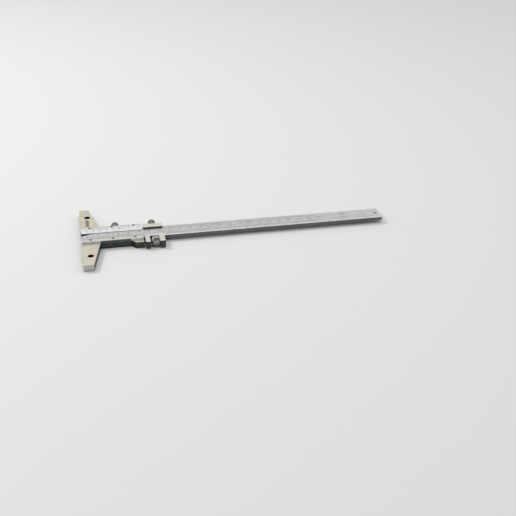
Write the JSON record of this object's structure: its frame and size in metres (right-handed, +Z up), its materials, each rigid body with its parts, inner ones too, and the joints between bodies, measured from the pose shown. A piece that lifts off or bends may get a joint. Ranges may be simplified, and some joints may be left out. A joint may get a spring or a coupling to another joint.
{
  "type": "vernier depth gauge",
  "caption": "Vernier depth gauge: T-shaped base, slider with bevelled vernier plates, graduated sliding beam, knurled lock screws and a fine-adjustment carriage.",
  "frame": {"origin": "on the measuring face, on the beam's centre line, level with the flat underside", "axes": "+X along the beam, away from the measuring face; +Y along the base, towards the lock screws; +Z up, out of the graduated side"},
  "size_m": [0.3, 0.12, 0.0093],
  "materials": {
    "body_steel": "satin",
    "plate_steel": "satin chrome",
    "beam_steel": "satin chrome, fine lengthwise grinding",
    "knurled_steel": "knurled",
    "stud_steel": "turned",
    "blackened_steel": "blackened",
    "bronze": "rolled strip",
    "brass": "turned"
  },
  "bodies": {
    "slider": {"base_body": "body_steel", "vernier_plate_metric": "plate_steel", "vernier_plate_inch": "plate_steel", "plate_screw_1": "blackened_steel", "plate_screw_2": "blackened_steel", "plate_screw_3": "blackened_steel", "plate_screw_4": "blackened_steel", "plate_screw_5": "blackened_steel", "plate_screw_6": "blackened_steel", "slider_gib": "bronze", "slider_lock_pad": "brass", "adjust_stud": "stud_steel", "stud_pin": "stud_steel"},
    "beam": {"beam": "beam_steel"},
    "carriage": {"carriage": "body_steel", "carriage_gib": "bronze", "carriage_lock_pad": "brass"},
    "nut": {"adjust_nut": "knurled_steel"},
    "slider_lock": {"slider_lock_screw": "knurled_steel"},
    "carriage_lock": {"carriage_lock_screw": "knurled_steel"}
  },
  "joints": [
    {"name": "beam_slide", "type": "slide", "parent": "slider", "child": "beam", "axis": [-1, 0, 0], "range_m": [0, 0.2]},
    {"name": "carriage_slide", "type": "slide", "parent": "slider", "child": "carriage", "axis": [1, 0, 0], "range_m": [-0.0009, 0.00495]},
    {"name": "nut_turn", "type": "hinge", "parent": "carriage", "child": "nut", "pos_m": [0.071, -0.019, 0.0047], "axis": [1, 0, 0], "range_deg": [-730, 3970]},
    {"name": "slider_lock_turn", "type": "hinge", "parent": "slider", "child": "slider_lock", "pos_m": [0.034, 0.02, 0.0047], "axis": [0, 1, 0], "range_deg": [-45, 360]},
    {"name": "carriage_lock_turn", "type": "hinge", "parent": "carriage", "child": "carriage_lock", "pos_m": [0.0702, 0.02, 0.0047], "axis": [0, 1, 0], "range_deg": [-45, 360]}
  ],
  "couplings": [
    {"joint": "nut_turn", "follows": "carriage_slide", "rad_per_m": 13963}
  ]
}
